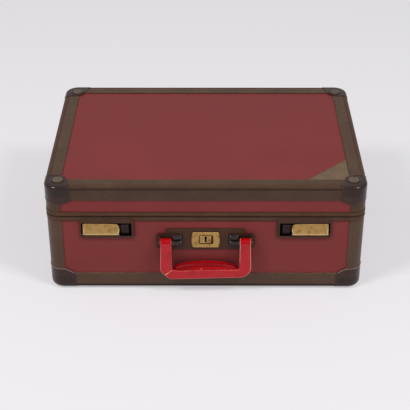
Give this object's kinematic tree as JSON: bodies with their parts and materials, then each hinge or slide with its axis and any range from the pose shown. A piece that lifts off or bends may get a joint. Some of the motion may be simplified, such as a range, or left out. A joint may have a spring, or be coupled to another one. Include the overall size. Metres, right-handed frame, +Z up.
{
  "type": "suitcase",
  "caption": "Small hard-sided suitcase with covered board shells, bound edges, corner caps, snap latches, a centre lock and a leather handle.",
  "frame": {"origin": "centre of the whole part's length and depth, at the level of the foot soles", "axes": "+X along the length, to the right seen from the front; +Y from the handle to the hinges; +Z up"},
  "size_m": [0.4618, 0.349, 0.1777],
  "materials": {
    "red_cloth": "woven dark red cloth on fibreboard, rubbed, satin",
    "olive_fibre": "varnished olive-brown fibre",
    "dark_bead": "dark brown rounded edge bead",
    "olive_rim": "olive-brown lacquered steel, satin",
    "aubergine": "dark aubergine lacquered steel, worn to a gloss",
    "stud_grey": "olive-grey lacquered steel, matt",
    "brass": "dull aged brass",
    "steel": "plain steel",
    "red_leather": "glossy red leather, worn at the edges",
    "beige_leather": "thin beige-olive leather, worn",
    "lining_cloth": "plain beige cloth"
  },
  "bodies": {
    "base": {"base_shell": "red_cloth", "base_rim": "olive_rim", "base_side_binding": "olive_fibre", "base_bottom_binding": "olive_fibre", "base_edge_bead": "dark_bead", "base_cap_front_right": "aubergine", "base_cap_front_left": "aubergine", "base_cap_rear_right": "aubergine", "base_cap_rear_left": "aubergine", "foot_front_right": "stud_grey", "foot_front_left": "stud_grey", "foot_rear_right": "stud_grey", "foot_rear_left": "stud_grey", "base_lining": "lining_cloth", "base_hinge_leaf_left": "steel", "base_hinge_leaf_right": "steel", "hinge_pin_left": "steel", "hinge_pin_right": "steel", "latch_frame_left": "aubergine", "latch_frame_right": "aubergine", "hasp_pin_left": "steel", "hasp_pin_right": "steel", "lock_backing_plate": "aubergine", "lock_plate": "brass", "lock_case": "steel", "handle_bracket_left": "aubergine", "handle_bracket_right": "aubergine", "handle_pin_left": "steel", "handle_pin_right": "steel"},
    "lid": {"lid_shell": "red_cloth", "lid_rim": "olive_rim", "lid_side_binding": "olive_fibre", "lid_top_binding": "olive_fibre", "lid_edge_bead": "dark_bead", "lid_cap_front_right": "aubergine", "lid_cap_front_left": "aubergine", "lid_cap_rear_right": "aubergine", "lid_cap_rear_left": "aubergine", "lid_stud_front_right": "stud_grey", "lid_stud_front_left": "stud_grey", "lid_stud_rear_right": "stud_grey", "lid_stud_rear_left": "stud_grey", "lid_lining": "lining_cloth", "lid_hinge_leaf_left": "steel", "lid_hinge_leaf_right": "steel", "striker_left": "steel", "striker_right": "steel", "lock_staple": "steel", "corner_patch": "beige_leather"},
    "hasp_left": {"hasp_left": "brass"},
    "hasp_right": {"hasp_right": "brass"},
    "slider_left": {"slider_left": "aubergine"},
    "slider_right": {"slider_right": "aubergine"},
    "lock_slide": {"lock_slide": "brass"},
    "lock_bolt": {"lock_bolt": "steel"},
    "handle": {"handle_strap": "red_leather", "handle_grip": "red_leather"}
  },
  "joints": [
    {"name": "lid_hinge", "type": "hinge", "parent": "base", "child": "lid", "pos_m": [0, 0.1719, 0.1267], "axis": [-1, 0, 0], "range_deg": [0, 100]},
    {"name": "handle_hinge", "type": "hinge", "parent": "base", "child": "handle", "pos_m": [0, -0.168, 0.0887], "axis": [-1, 0, 0], "range_deg": [0, 170]},
    {"name": "lock_slide_joint", "type": "slide", "parent": "base", "child": "lock_slide", "axis": [1, 0, 0], "range_m": [0, 0.002]},
    {"name": "lock_bolt_joint", "type": "slide", "parent": "base", "child": "lock_bolt", "axis": [1, 0, 0], "range_m": [0, 0.002]},
    {"name": "hasp_left_hinge", "type": "hinge", "parent": "base", "child": "hasp_left", "pos_m": [-0.15064, -0.1588, 0.09675], "axis": [1, 0, 0], "range_deg": [0, 75]},
    {"name": "slider_left_joint", "type": "slide", "parent": "base", "child": "slider_left", "axis": [1, 0, 0], "range_m": [0, 0.0035], "stiffness_N_per_m": 300, "springref_m": -0.003},
    {"name": "hasp_right_hinge", "type": "hinge", "parent": "base", "child": "hasp_right", "pos_m": [0.15064, -0.1588, 0.09675], "axis": [1, 0, 0], "range_deg": [0, 75]},
    {"name": "slider_right_joint", "type": "slide", "parent": "base", "child": "slider_right", "axis": [-1, 0, 0], "range_m": [0, 0.0035], "stiffness_N_per_m": 300, "springref_m": -0.003}
  ],
  "couplings": [
    {"joint": "lock_bolt_joint", "follows": "lock_slide_joint", "ratio": 1}
  ]
}
